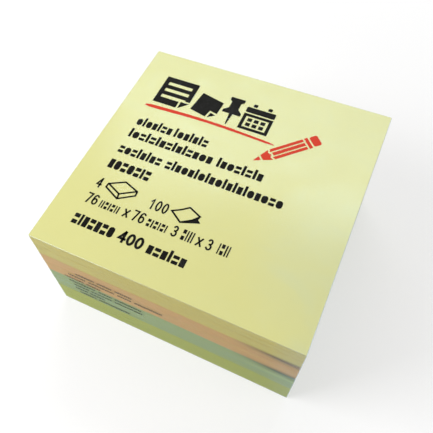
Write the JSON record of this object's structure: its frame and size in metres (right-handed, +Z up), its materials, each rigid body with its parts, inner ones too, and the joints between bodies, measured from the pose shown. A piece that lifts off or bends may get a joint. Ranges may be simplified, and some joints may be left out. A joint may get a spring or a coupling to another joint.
{
  "type": "sticky note pad pack",
  "caption": "Square pads of sticky notes in pastel colours, stacked and sealed together in clear folded film.",
  "frame": {"origin": "centre of the flat face the pack rests on, at its underside", "axes": "+X to the right along the notes' free edges, +Y back towards their glued edges, +Z up through the stack"},
  "size_m": [0.0766, 0.0764, 0.0413],
  "materials": {
    "clear_film": "clear and glossy",
    "yellow_paper": "matt, uncoated",
    "pink_paper": "matt, uncoated",
    "blue_paper": "matt, uncoated",
    "green_paper": "matt, uncoated",
    "backing_paper": "smooth, off-white"
  },
  "bodies": {
    "root": {"film_wrap": "clear_film", "green_backing_sheet": "backing_paper", "green_note_block": "green_paper", "blue_backing_sheet": "backing_paper", "blue_note_block": "blue_paper", "pink_backing_sheet": "backing_paper", "pink_note_block": "pink_paper", "yellow_backing_sheet": "backing_paper", "yellow_note_block": "yellow_paper"}
  },
  "joints": []
}
